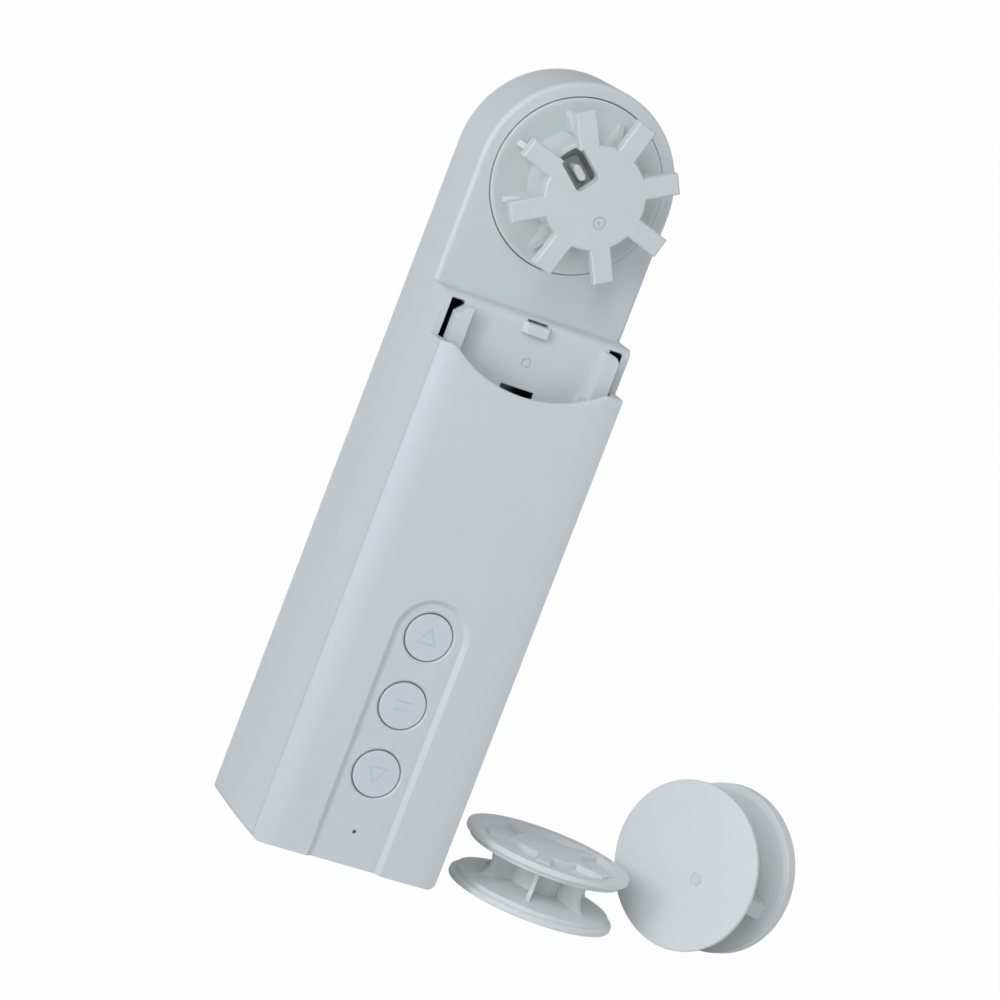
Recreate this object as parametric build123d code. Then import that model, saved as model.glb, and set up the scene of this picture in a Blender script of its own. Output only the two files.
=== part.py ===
from build123d import *
import math
import os

# Chain drive for a roller blind, standing upright on its flat bottom end.
# X runs to the right, Y runs towards the wall, Z runs up. All lengths are in millimetres.
# A depth is measured from the wall side towards the front, so depth 0 is the flat back.

# Body
body_width = 50.0
body_length = 195.7
wall = 2.0
recess_sink = 2.8
panel_step = 10.0
side_step = 17.2
crown_rise = 0.8
front_narrowing = 0.75
ledge_drop = 32.0
panel_height = 11.0
head_rim = 3.4
cutter_overrun = 1.0
seam_gap = 0.15
corner_round = 2.0
back_edge_round = 1.5
head_edge_round = 1.2
ledge_round = 2.2
ledge_cove = 1.5

# Drive wheel
flange_gap = 0.5
rim_gap = 0.25
rim_proud = 0.75
groove_width = 11.55
star_thickness = 3.0
flange_back_gap = 0.3
flange_web = 1.2
rim_lip = 0.9
drum_radius = 11.9
drum_wall = 1.2
guide_radius = 13.6
star_radius = 12.6
arm_tip_radius = 20.8
arm_width = 5.0
arm_count = 8
arm_phase = 28.0
arm_edge = 0.35
fin_thickness = 1.5
fin_inset = 1.1
window_width = 6.1
window_inner_radius = 3.4
window_corner = 1.3
gate_mark_radius = 1.6
gate_mark_groove = 0.4
gate_mark_sink = 0.2
gate_mark_offset = 6.1
gate_mark_angle = -59.0
pulley_width = 14.2
bush_room = 2.3

# Wheel latch
latch_room = 5.5
latch_plate = 1.0
latch_play = 0.1
latch_width = 5.0
latch_travel = 0.8
finger_length = 4.3
finger_width = 2.0
finger_radius = 6.6
finger_proud = 0.5
finger_round = 0.33

# Shafts, bushes and gears
shaft_radius = 3.0
gear_seat_radius = 5.0
front_journal_radius = 4.0
nose_radius = 3.5
nose_flat = 2.8
nose_reach = 2.8
nose_groove = 0.8
running_clearance = 0.05
push_clearance = 0.02
bush_wall = 1.6
boss_wall = 1.8
output_teeth = 36
pinion_teeth = 12
bevel_module = 0.8
bevel_gear_teeth = 28
bevel_pinion_teeth = 12
pressure_angle = 20.0
backlash = 0.16
bevel_face = 3.6
bevel_rise = 2.2
gear_layer_width = 4.8
bevel_web = 1.6
axle_radius = 1.5
axle_room = 2.4

# Motor
motor_radius = 11.0
motor_gap = 0.3
motor_length = 14.0
reducer_length = 14.0
motor_cap_length = 2.4
motor_shaft_radius = 1.5
motor_boss_radius = 3.5
motor_boss_height = 2.0
motor_bore_depth = 6.0
motor_screw_depth = 4.0
terminal_offset = 5.25
shelf = 2.0
motor_screw_offset = 7.5

# Gear frame
frame_gap = 1.4
frame_side = 1.0
frame_plate = 2.0
frame_post_radius = 2.6
frame_post_rise = 5.5
frame_post_inset = 4.1

# Front panel of the recess
panel_rim = 2.3
post_width = 3.7
post_corner = 2.2
post_proud = 3.7
post_drop = 2.0
post_nub_width = 2.2
post_nub_proud = 1.5
post_nub_drop = 2.8
slot_width = 1.4
slot_head = 0.7
slot_hook = 3.4
tab_width = 8.0
tab_face_width = 5.4
tab_drop = 3.8
tab_height = 2.6
tab_proud = 1.6
tab_slit = 0.6
key_slot_left = -3.7
key_slot_right = 5.0
key_slot_height = 3.2
key_slot_drop = 6.0
pocket_sink = 11.7
panel_mark_x = 0.6
panel_mark_rise = 0.3
panel_mark_radius = 1.3

# Front cover
cover_skin = 1.8
cover_edge = 0.6
roll_width = 6.2
shoulder_flat = 4.36
scoop_drop = 6.8
scoop_corner = 4.0
scoop_edge_round = 0.7
channel_half_width = 9.7
channel_depth = 1.2
pinhole_radius = 0.5
pinhole_height = 8.5
lip_depth = 3.6
lip_thickness = 1.2

# Buttons
down_button_share = 0.1848
button_pitch_share = 0.1386
button_radius = 5.8
button_gap = 0.3
button_bevel = 0.5
button_flange = 1.1
button_flange_thickness = 0.85
button_flange_gap = 0.15
button_edge_round = 0.3
button_travel = 0.4
button_stem_radius = 1.4

# Circuit board and what is on it
board_room = 6.6
board_thickness = 1.6
board_side_gap = 3.25
board_foot = 4.0
board_drop = 40.7
board_post_radius = 2.4
board_post_inset = 3.4
board_post_low = 12.0
board_post_drop = 8.0
switch_size = 6.0
switch_height = 3.5
plunger_radius = 1.7
plunger_proud = 0.8
plunger_length = 1.8
module_width = 18.0
module_gap = 12.0
module_margin = 4.0
module_border = 1.0
module_thickness = 3.0
led_size = 1.6
led_thickness = 0.8
pipe_radius = 1.2
port_width = 9.0
port_thickness = 3.2
port_length = 7.4
port_recess = 0.8
port_shell = 0.35
port_clearance = 0.25
tongue_thickness = 0.7

sensor_width = 12.0
sensor_height = 10.0
sensor_board = 0.8
sensor_chip = 3.0

# Battery
cell_side_gap = 3.5
cell_top_drop = 6.7
cell_gap = 0.3
cell_foot = 10.2
cradle_floor = 0.9
cradle_wall = 1.0
cradle_drop = 0.1
cradle_rib = 3.0
contact_thickness = 0.3
contact_width = 6.0
lead_radius = 0.6
lead_bend = 2.5
lead_run = 4.0

# Fasteners and wall fixing
back_cover_thickness = 2.2
back_cover_gap = 0.15
screw_shank_radius = 0.95
screw_head_radius = 1.9
screw_head_thickness = 1.2
screw_length = 8.0
boss_radius = 2.8
boss_inset = 4.6
boss_depth_length = 14.0
low_boss_height = 5.6
middle_boss_drop = 86.2
high_boss_drop = 20.7
keyhole_entry_radius = 3.5
keyhole_slot_radius = 2.0
keyhole_rise = 5.0
keyhole_top_gap = 1.7
keyhole_foot_gap = 0.7
keyhole_pocket = 3.4

# Spare wheels
body_gap = 9.45
spare_gap = 2.5
spare_lip = 1.6
spare_step = 1.2
spare_step_inset = 1.5
spare_rise = 1.3
spare_drum_radius = 7.2
spare_ring = 3.3
spare_sink = 1.6
spare_star_radius = 9.2
spare_star_arms = 5
spare_star_arm_width = 4.2
spare_star_phase = 30.0
spare_fin_count = 6
spare_fin_thickness = 1.2
spare_fin_phase = 5.5
spare_fin_waist = 7.9
spare_fin_inset = 4.1
spare_a_y = -1.7
spare_b_y = -3.5
spare_b_heading = 213.0
spare_disc_thickness = 1.3
disc_rim_lip = 1.8
disc_fin_count = 3
disc_fin_phase = 14.0
disc_fin_thickness = 4.4
disc_fin_inset = 2.7
edge_roll = 0.4
low_edge_roll = 0.3
disc_mark_offset = 5.0
disc_mark_angle = 250.0

# Worked out from the above: the body, up and down
half_width = body_width / 2
wheel_height = body_length - half_width
ledge_height = wheel_height - ledge_drop
shoulder_height = ledge_height - panel_height
front_half_width = half_width - front_narrowing
inner_half_width = half_width - wall
front_inner_half_width = front_half_width - wall
flange_radius = half_width - head_rim - rim_gap
recess_radius = flange_radius + rim_gap
button_shares = [down_button_share + button_pitch_share * step for step in range(3)]
button_heights = [shoulder_height * share for share in button_shares]

# Depths, from the motor and its gears out to the front
bevel_pinion_radius = bevel_module * bevel_pinion_teeth / 2
bevel_gear_radius = bevel_module * bevel_gear_teeth / 2
frame_depth = back_cover_thickness + frame_gap
motor_axis_depth = back_cover_thickness + motor_gap + motor_radius
gear_layer_depth = motor_axis_depth - bevel_pinion_radius + bevel_rise
recess_wall_depth = gear_layer_depth + gear_layer_width + flange_gap
recess_floor_depth = recess_wall_depth + wall
head_depth = recess_floor_depth + recess_sink
panel_depth = head_depth + panel_step
side_depth = head_depth + side_step
body_depth = side_depth + crown_rise
wall_y = body_depth / 2
flange_back_depth = recess_floor_depth + flange_back_gap
rim_front_depth = head_depth + rim_proud
drum_top_depth = rim_front_depth + groove_width
star_front_depth = drum_top_depth + star_thickness
latch_floor_depth = drum_top_depth - latch_room
finger_front_depth = drum_top_depth + finger_proud
nose_front_depth = latch_floor_depth + nose_reach
cover_seat_depth = side_depth - cover_edge
cover_inner_depth = body_depth - cover_skin
channel_floor_depth = body_depth - channel_depth
channel_inner_depth = channel_floor_depth - cover_skin
board_front_depth = cover_inner_depth - board_room
board_back_depth = board_front_depth - board_thickness
seat_half_width = half_width - front_narrowing * (1 - cover_edge / side_step)

# Drive wheel and recessed panel
window_angle = arm_phase + 360 / arm_count * 2.5
arm_angles = [arm_phase + 360 / arm_count * index for index in range(arm_count)]
disc_fin_angles = [disc_fin_phase + 360 / disc_fin_count * index for index in range(disc_fin_count)]
room_radius = front_journal_radius + bush_wall + boss_wall + flange_gap
slot_outer = half_width - panel_rim
post_outer = slot_outer - slot_width
post_inner = post_outer - post_width
post_front_depth = panel_depth + post_proud
post_top = ledge_height - post_drop
tab_bottom = ledge_height - tab_drop
pocket_floor = shoulder_height - pocket_sink
key_slot_top = shoulder_height - key_slot_drop
panel_mark_height = shoulder_height + panel_mark_rise
scoop_low = shoulder_height - scoop_drop
scoop_half = front_half_width - shoulder_flat
scoop_radius = (scoop_half ** 2 + scoop_drop ** 2) / (2 * scoop_drop)

# Gears, motor and frame, down from the wheel's axis
centre_distance = recess_radius + axle_room
spur_module = 2 * centre_distance / (output_teeth + pinion_teeth)
idler_height = wheel_height - centre_distance
motor_top = idler_height - bevel_gear_radius - 2 * bevel_face - shelf - motor_boss_height
reducer_foot = motor_top - reducer_length
motor_foot = reducer_foot - motor_length
frame_half_width = motor_radius + frame_side
frame_post_x = inner_half_width - frame_post_inset
frame_post_height = motor_top + shelf + frame_post_rise

# Back, battery and circuit board
boss_heights = (low_boss_height, wheel_height - middle_boss_drop, wheel_height - high_boss_drop)
keyhole_reach = keyhole_entry_radius + wall / 2
keyhole_low = motor_foot - motor_cap_length - boss_wall - keyhole_foot_gap - keyhole_reach - keyhole_rise
keyhole_high = wheel_height + sensor_height / 2 + keyhole_top_gap + keyhole_reach
cell_radius = (inner_half_width - cell_side_gap - cradle_wall - cell_gap) / 2
cradle_near = back_cover_thickness + push_clearance
cell_depth = cradle_near + cradle_floor + cell_radius
cell_x = cell_radius + cell_gap / 2
cell_top = keyhole_low - cell_top_drop
cradle_depth = cell_radius - cradle_drop
lead_depth = cell_depth + contact_width / 2 + lead_radius + push_clearance
board_half_width = front_inner_half_width - board_side_gap
board_top = ledge_height - board_drop
board_post_x = board_half_width - board_post_inset
board_post_high = board_top - board_post_drop
module_foot = button_heights[-1] + module_gap
module_top = board_top - module_margin

# Spare wheels
spare_a_x = half_width + body_gap + flange_radius
spare_turn = math.radians(spare_b_heading)
spare_reach = (star_front_depth - flange_back_depth) / 2 + flange_radius + spare_gap
spare_b_x = spare_a_x - (spare_reach + (spare_b_y - spare_a_y) * math.sin(spare_turn)) / math.cos(spare_turn)


def atDepth(depth):
    """A drawing plane parallel to the wall whose normal points to the front."""
    return Plane(origin=(0, wall_y - depth, 0), x_dir=(1, 0, 0), z_dir=(0, -1, 0))


def plate(sketch, near, far):
    """A sketch in x and height, made solid from one depth to another."""
    return extrude(atDepth(near) * sketch, far - near)


def disc(radius, near, far, x=0, height=0):
    """A round bar square to the wall."""
    return plate(Pos(x, height) * Circle(radius), near, far)


def block(x_low, x_high, near, far, foot, top):
    """A box between two x values, two depths and two heights."""
    centre = ((x_low + x_high) / 2, wall_y - (near + far) / 2, (foot + top) / 2)
    return Pos(*centre) * Box(x_high - x_low, far - near, top - foot)


def upright(radius, foot, top, x=0, depth=0):
    """A round bar along the body's length."""
    return Pos(x, wall_y - depth, (foot + top) / 2) * Cylinder(radius, top - foot)


def arch(half, foot):
    """The body's outline: straight sides under a half circle about the wheel's axis."""
    sides = Polyline((-half, wheel_height), (-half, foot), (half, foot), (half, wheel_height))
    top = ThreePointArc((half, wheel_height), (0, wheel_height + half), (-half, wheel_height))
    return make_face(sides + top)


def turned(points):
    """A solid of revolution about Z from radius and height pairs."""
    outline = make_face(Plane.XZ * Polyline(*points, close=True))
    return revolve(outline, Axis.Z)


def polar(radius, angle):
    """X and height of a point at a radius and an angle in degrees."""
    return radius * math.cos(math.radians(angle)), radius * math.sin(math.radians(angle))


def onWheelAxis(shape):
    """Moves a shape drawn about Z, front upwards, onto the drive wheel's axis."""
    place = Plane(origin=(0, wall_y, wheel_height), x_dir=(1, 0, 0), z_dir=(0, -1, 0))
    return place * shape


def edgesWhere(shape, test):
    """The edges whose middle point passes a test."""
    return [edge for edge in shape.edges() if test(edge.position_at(0.5), edge)]


def gateMark(radius, sink):
    """The ring that a moulding gate leaves, as a cutter on the XY plane going down."""
    ring = Circle(radius) - Circle(radius - gate_mark_groove)
    return extrude(ring, -sink) + extrude(Circle(gate_mark_groove), -sink)


# Gears

def involute(angle):
    return math.tan(angle) - angle


def toothHalfWidth(radius, pitch_radius, module):
    """Half the width of an involute tooth at a radius, less half the backlash."""
    alpha = math.radians(pressure_angle)
    base = pitch_radius * math.cos(alpha)
    half_angle = (math.pi * module / 2 - backlash) / (2 * pitch_radius)
    local = math.acos(min(1, base / max(radius, base)))
    return radius * math.sin(half_angle + involute(alpha) - involute(local))


def spurGear(teeth, module, width, phase=0):
    """A spur gear about Z from height 0, with a tooth centred at the phase angle."""
    pitch_radius = module * teeth / 2
    root_share, tip_share = 1.2, 0.95
    level_shares = (-root_share, -0.55, 0.0, 0.5, tip_share)
    flank = []
    for level in level_shares:
        radius = pitch_radius + level * module
        half = toothHalfWidth(radius, pitch_radius, module)
        flank.append((radius, math.degrees(math.asin(half / radius))))
    points = []
    for tooth in range(teeth):
        centre = phase + 360 / teeth * tooth
        points += [polar(radius, centre - half) for radius, half in flank]
        points += [polar(radius, centre + half) for radius, half in reversed(flank)]
    return extrude(make_face(Polyline(*points, close=True)), width)


def bevelGear(teeth, mate_teeth, module, face, back, phase=0):
    """A straight bevel gear about Z with its cone's apex at the origin, opening downwards."""
    pitch_radius = module * teeth / 2
    cone_height = module * mate_teeth / 2
    slope = math.atan2(teeth, mate_teeth)
    cone_length = math.hypot(pitch_radius, cone_height)
    inner_share = 1 - face / cone_length
    virtual_radius = pitch_radius / math.cos(slope)
    root_share, tip_share, sunk_share = -1.2, 0.9, -1.7
    level_shares = (sunk_share, root_share, -0.5, 0.0, 0.5, tip_share)

    def corner(level_share, side):
        level = level_share * module
        half = toothHalfWidth(virtual_radius + level, virtual_radius, module)
        radius = pitch_radius + level * math.cos(slope)
        return radius, side * half, level * math.sin(slope) - cone_height

    outline = [corner(share, -1) for share in level_shares]
    outline += [corner(share, 1) for share in reversed(level_shares)]
    inner = [tuple(value * inner_share for value in point) for point in outline]
    ends = [make_face(Polyline(*ring, close=True)) for ring in (outline, inner)]
    tooth = loft(ends, ruled=True)
    outer_root = corner(root_share, 0)
    inner_root = tuple(value * inner_share for value in outer_root)
    body = turned([(0, inner_root[2]), (inner_root[0], inner_root[2]), (outer_root[0], outer_root[2]),
                   (outer_root[0], outer_root[2] - back), (0, outer_root[2] - back)])
    step = 360 / teeth
    return body + [Rot(0, 0, phase + step * index) * tooth for index in range(teeth)]


# Wheels, drawn about Z with the front upwards and the wall at height 0

def finOutline(inner, reach, foot, top):
    """A thin triangular fin from the drum to the rim, slightly hollow along its long edge."""
    hollow_share = 0.42
    middle = (inner + (reach - inner) * hollow_share, foot + (top - foot) * hollow_share)
    edge = Spline((inner, top), middle, (reach, foot))
    base = Polyline((reach, foot), (inner, foot), (inner, top))
    return make_face(Plane.XZ * (edge + base))


def wheelBase(lip, fin_angles, thickness, fin_reach):
    """Back flange dished down to the drum, the drum and its fins, moulded in one."""
    back = flange_back_depth
    web = back + flange_web
    profile = turned([(0, back), (flange_radius, back), (flange_radius, rim_front_depth),
                      (flange_radius - lip, rim_front_depth), (drum_radius, web),
                      (drum_radius, drum_top_depth), (0, drum_top_depth)])
    circles = profile.edges().filter_by(GeomType.CIRCLE)
    rim = [edge for edge in circles if edge.radius > guide_radius and edge.position_at(0).Z > web]
    rim += circles.group_by(Axis.Z)[0].sort_by(SortBy.RADIUS)[-1:]
    base = fillet(rim, low_edge_roll)
    outline = finOutline(drum_radius - drum_wall / 2, fin_reach, web, drum_top_depth)
    fin = extrude(outline, thickness / 2, both=True)
    base += [Rot(0, 0, angle) * fin for angle in fin_angles]
    cavity = Pos(0, 0, latch_floor_depth) * extrude(
        Circle(drum_radius - drum_wall), drum_top_depth - latch_floor_depth)
    return base - cavity - bearingRoom(back) - shaftBore(back, latch_floor_depth)


def guideOutline(reach, half):
    """A strip from the wheel's axis to a rounded end, under the window between two arms."""
    strip = Pos(reach / 2, 0) * Rectangle(reach, 2 * half)
    return Rot(0, 0, window_angle) * (strip & Circle(reach))


def driveWheel():
    """The fitted wheel, whose drum opens into a guide for the latch's outer end."""
    wheel = wheelBase(rim_lip, arm_angles, fin_thickness, flange_radius - fin_inset)
    foot = flange_back_depth + flange_web
    walls = guideOutline(guide_radius, window_width / 2 + drum_wall) - Circle(drum_radius - drum_wall / 2)
    wheel += Pos(0, 0, foot) * extrude(walls, drum_top_depth - foot)
    room = guideOutline(guide_radius - drum_wall, window_width / 2)
    return wheel - Pos(0, 0, latch_floor_depth) * extrude(room, drum_top_depth - latch_floor_depth)


def bearingRoom(back):
    """The room in a wheel's back that clears the bearing boss of the body."""
    return Pos(0, 0, back) * extrude(Circle(room_radius), bush_room)


def dSection(radius, flat):
    """A round section with one flat, the flat facing the latch."""
    section = Circle(radius) - Pos(flat + radius, 0) * Rectangle(2 * radius, 2 * radius)
    return Rot(0, 0, window_angle + 180) * section


def shaftBore(near, far):
    """The hole that the output shaft's nose slides into."""
    section = dSection(nose_radius + running_clearance, nose_flat + running_clearance)
    return Pos(0, 0, near) * extrude(section, far - near)


def wheelStar():
    """Front disc with eight square arms and the window over the latch."""
    arm = Pos((drum_radius + arm_tip_radius) / 2, 0) * Rectangle(arm_tip_radius - drum_radius, arm_width)
    outline = Circle(star_radius) + [Rot(0, 0, angle) * arm for angle in arm_angles]
    star = Pos(0, 0, drum_top_depth) * extrude(outline, star_thickness)
    front = star.faces().sort_by(Axis.Z)[-1]
    star = chamfer(front.edges(), arm_edge)
    opening = Pos((window_inner_radius + star_radius * 2) / 2, 0) * RectangleRounded(
        star_radius * 2 - window_inner_radius, window_width, window_corner)
    reach = Pos(0, 0, drum_top_depth) * extrude(Rot(0, 0, window_angle) * opening, star_thickness)
    window = reach - [Pos(0, 0, drum_top_depth) * extrude(Rot(0, 0, angle) * arm, star_thickness)
                      for angle in arm_angles]
    mark_x, mark_y = polar(gate_mark_offset, gate_mark_angle)
    mark = Pos(mark_x, mark_y, star_front_depth) * gateMark(gate_mark_radius, gate_mark_sink)
    return star - window - mark


def wheelLatch():
    """A sliding plate that hooks in the shaft's groove, with a finger in the window."""
    groove_radius = nose_radius - nose_groove
    cavity_radius = drum_radius - drum_wall
    length = cavity_radius - latch_travel - latch_play * 2
    strip = Pos(length / 2, 0) * Rectangle(length, latch_width)
    rounded = strip & Circle(length)
    fork = rounded - Circle(groove_radius + running_clearance)
    body = Pos(0, 0, latch_floor_depth + latch_play) * extrude(fork, latch_plate)
    finger = Pos(finger_radius, 0) * SlotOverall(finger_length, finger_width)
    foot = latch_floor_depth + latch_play + latch_plate
    stud = Pos(0, 0, foot) * extrude(finger & Circle(length), finger_front_depth - foot)
    stud = fillet(stud.faces().sort_by(Axis.Z)[-1].edges(), finger_round)
    return Rot(0, 0, window_angle) * (body + stud)


def grooveWheelHub():
    """Lower flange, slim drum and hollow-edged fins of the pulley for a cord."""
    inner_top = pulley_width - spare_sink
    radius = flange_radius
    step_radius = radius - spare_step_inset
    step_top = spare_lip + spare_step
    profile = turned([(0, 0), (radius, 0), (radius, spare_lip), (step_radius, spare_lip),
                      (step_radius, step_top), (spare_drum_radius, step_top + spare_rise),
                      (spare_drum_radius, inner_top - spare_rise - spare_step),
                      (0, inner_top - spare_rise - spare_step)])
    rim = [edge for edge in profile.edges().filter_by(GeomType.CIRCLE) if edge.radius > step_radius]
    base = fillet(rim, edge_roll)
    foot = step_top
    top = inner_top - spare_step
    middle = (foot + top) / 2
    reach = flange_radius - spare_fin_inset
    edge = ThreePointArc((reach, top), (flange_radius - spare_fin_waist, middle), (reach, foot))
    inset = spare_drum_radius - spare_rise
    sides = Polyline((reach, foot), (inset, foot), (inset, top), (reach, top))
    fin = extrude(make_face(Plane.XZ * (edge + sides)), spare_fin_thickness / 2, both=True)
    low = top - spare_rise - push_clearance
    under = turned([(0, low), (spare_drum_radius, low), (step_radius, top - push_clearance),
                    (step_radius, pulley_width), (0, pulley_width)])
    step = 360 / spare_fin_count
    fins = [Rot(0, 0, spare_fin_phase + step * index) * fin for index in range(spare_fin_count)]
    hub = base + [fin_solid - under for fin_solid in fins]
    return hub - bearingRoom(0) - shaftBore(0, top - spare_rise)


def grooveWheelFace():
    """Upper flange of the pulley for a cord, with a raised five-armed star in its hollow."""
    radius = flange_radius
    step_radius = radius - spare_step_inset
    top = pulley_width
    under = top - spare_sink - spare_step
    floor = top - spare_sink
    profile = turned([(0, under - spare_rise), (spare_drum_radius, under - spare_rise), (step_radius, under),
                      (step_radius, top - spare_lip), (radius, top - spare_lip), (radius, top),
                      (radius - spare_ring, top), (radius - spare_ring - spare_sink / 2, floor), (0, floor)])
    rim = [edge for edge in profile.edges().filter_by(GeomType.CIRCLE) if edge.radius > step_radius]
    face = fillet(rim, edge_roll)
    reach = radius - spare_ring - spare_sink
    arm = Pos(reach / 2, 0) * Rectangle(reach, spare_star_arm_width)
    step = 360 / spare_star_arms
    arms = [Rot(0, 0, spare_star_phase + step * index) * arm for index in range(spare_star_arms)]
    star = Circle(spare_star_radius) + arms
    raised = Pos(0, 0, floor) * extrude(star, spare_sink)
    raised = chamfer(raised.faces().sort_by(Axis.Z)[-1].edges(), arm_edge)
    return face + raised


def plainDisc():
    """Front flange of the pulley for a beaded cord: a plain disc with a gate mark."""
    foot = star_front_depth - spare_disc_thickness
    sheet = Pos(0, 0, foot) * extrude(Circle(flange_radius), spare_disc_thickness)
    sheet = fillet(sheet.edges().filter_by(GeomType.CIRCLE), edge_roll)
    spigot = Pos(0, 0, drum_top_depth) * extrude(Circle(drum_radius), foot - drum_top_depth)
    mark_x, mark_y = polar(disc_mark_offset, disc_mark_angle)
    mark = Pos(mark_x, mark_y, star_front_depth) * gateMark(gate_mark_radius, gate_mark_sink)
    return sheet + spigot - mark


def layFlat(shape):
    """Puts a pulley on its back flange, on the surface that the body stands on."""
    return Pos(spare_a_x, spare_a_y, 0) * shape


def standOnEdge(shape):
    """Stands a pulley on the edges of its flanges, its front turned to a heading."""
    middle = (flange_back_depth + star_front_depth) / 2
    heading = math.radians(spare_b_heading)
    facing = (math.cos(heading), math.sin(heading), 0)
    place = Plane(origin=(spare_b_x, spare_b_y, flange_radius), x_dir=(0, 0, 1), z_dir=facing)
    return place * Pos(0, 0, -middle) * shape


# Housing

def screwPlaces():
    """X and height of the six screws that hold the back cover."""
    offset = half_width - boss_inset
    return [(side * offset, height) for height in boss_heights for side in (-1, 1)]


def lowerBlock():
    """The thick lower part, narrowing slightly to the front."""
    back_y, knee_y, front_y = (wall_y - depth for depth in (recess_floor_depth, head_depth, cover_seat_depth))
    corners = [(half_width, back_y), (half_width, knee_y), (seat_half_width, front_y)]
    mirrored = [(-x, y) for x, y in reversed(corners)]
    return extrude(make_face(Polyline(*corners, *mirrored, close=True)), ledge_height)


def housingOutside():
    """Outer form: arched head, ledge, recessed panel and lower walls."""
    face_y = wall_y - head_depth
    head = plate(arch(half_width, 0), 0, head_depth)
    head = fillet(edgesWhere(head, lambda point, edge: abs(point.Y - face_y) < push_clearance),
                  head_edge_round)
    shell = head + lowerBlock()
    shell -= block(-body_width, body_width, panel_depth, body_depth, shoulder_height, body_length)
    panel_y = wall_y - panel_depth
    brow = edgesWhere(shell, lambda point, edge: abs(point.Y - panel_y) < push_clearance
                      and abs(point.Z - ledge_height) < push_clearance)
    shell = fillet(brow, ledge_round)
    shell += headCove()
    rear = edgesWhere(shell, lambda point, edge: abs(point.Y - wall_y) < push_clearance
                      and point.Z > push_clearance)
    shell = fillet(rear, back_edge_round)
    return shell


def headCove():
    """Hollow moulding where the head's face meets the ledge."""
    face_y = wall_y - head_depth
    corner, up, out = ((face_y, ledge_height), (face_y, ledge_height + ledge_cove),
                       (face_y - ledge_cove, ledge_height))
    middle = tuple(value + ledge_cove * (1 - math.cos(math.pi / 4)) * way
                   for value, way in zip(corner, (-1, 1)))
    outline = ThreePointArc(up, middle, out) + Polyline(out, corner, up)
    strip = extrude(Plane.YZ * make_face(outline), half_width - head_edge_round, both=True)
    return strip


def housingInside():
    """Everything hollow behind the walls, open at the back and at the front."""
    room = plate(arch(inner_half_width, wall), -cutter_overrun, recess_wall_depth)
    low_room = block(-inner_half_width, inner_half_width, recess_wall_depth - cutter_overrun,
                     head_depth - wall, wall, ledge_height - wall)
    neck = block(-inner_half_width, inner_half_width, recess_wall_depth - cutter_overrun,
                 head_depth - wall, ledge_height - wall * 2, wheel_height)
    neck -= disc(recess_radius + wall, 0, body_depth, 0, wheel_height)
    middle = block(-front_inner_half_width, front_inner_half_width, head_depth - wall - cutter_overrun,
                   panel_depth - wall, wall, ledge_height - wall)
    mouth = block(-front_inner_half_width, front_inner_half_width, panel_depth - wall - cutter_overrun,
                  body_depth, wall, pocket_floor - wall)
    pocket = block(-front_inner_half_width, front_inner_half_width, panel_depth, body_depth,
                   pocket_floor, shoulder_height + cutter_overrun)
    return room + low_room + neck + middle + mouth + pocket


def panelSlots():
    """Cutters for the openings of the recessed panel."""
    near, far = panel_depth - wall - cutter_overrun, panel_depth + cutter_overrun
    cuts = []
    for side in (-1, 1):
        low, high = sorted((side * post_outer, side * slot_outer))
        cuts.append(block(low, high, near, far, pocket_floor, post_top + slot_head))
        low, high = sorted((side * (slot_outer - slot_hook), side * slot_outer))
        cuts.append(block(low, high, near, far, post_top - post_corner, post_top + slot_head))
    tab_top = tab_bottom + tab_height
    cuts.append(block(-tab_face_width / 2, tab_face_width / 2, near, far, tab_top, tab_top + tab_slit))
    cuts.append(block(key_slot_left, key_slot_right, near, far, key_slot_top - key_slot_height, key_slot_top))
    return cuts


def panelPosts():
    """The two clip posts and the catch that hold the removable wheel cover."""
    posts = []
    for side in (-1, 1):
        low, high = sorted((side * post_inner, side * post_outer))
        post = block(low, high, panel_depth - wall, post_front_depth, pocket_floor, post_top)
        outer_edge = [edge for edge in post.edges().filter_by(Axis.Y)
                      if abs(edge.position_at(0).X - side * post_outer) < push_clearance
                      and edge.position_at(0).Z > pocket_floor + post_corner]
        posts.append(chamfer(outer_edge, post_corner) if side < 0 else fillet(outer_edge, post_corner))
        low, high = sorted((side * post_inner, side * (post_inner - post_nub_width)))
        posts.append(block(low, high, panel_depth - wall, panel_depth + post_nub_proud, pocket_floor,
                           shoulder_height - post_nub_drop))
    tab_middle = tab_bottom + tab_height / 2
    base = atDepth(panel_depth - wall / 2) * Pos(0, tab_middle) * Rectangle(tab_width, tab_height)
    face = atDepth(panel_depth + tab_proud) * Pos(0, tab_middle) * Rectangle(tab_face_width, tab_height)
    return posts + [loft([base, face], ruled=True)]


def bottomCorners():
    """Cutters that round the two lower corners, following the narrowing sides."""
    reach_depth = body_depth + cutter_overrun
    reach_half = half_width - front_narrowing * (reach_depth - head_depth) / (side_depth - head_depth)
    cutters = []
    for side in (-1, 1):
        sections = []
        for half, depth in ((half_width, -cutter_overrun), (half_width, head_depth),
                            (reach_half, reach_depth)):
            wide, inset = side * (half + cutter_overrun), side * (half - corner_round)
            diagonal = corner_round * (1 - math.cos(math.pi / 4))
            arc = ThreePointArc((side * half, corner_round), (side * (half - diagonal), diagonal),
                                (inset, 0))
            rest = Polyline((inset, 0), (inset, -cutter_overrun), (wide, -cutter_overrun),
                            (wide, corner_round), (side * half, corner_round))
            sections.append(atDepth(depth) * make_face(arc + rest))
        cutters += [loft(sections[:2], ruled=True), loft(sections[1:], ruled=True)]
    return cutters


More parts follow.
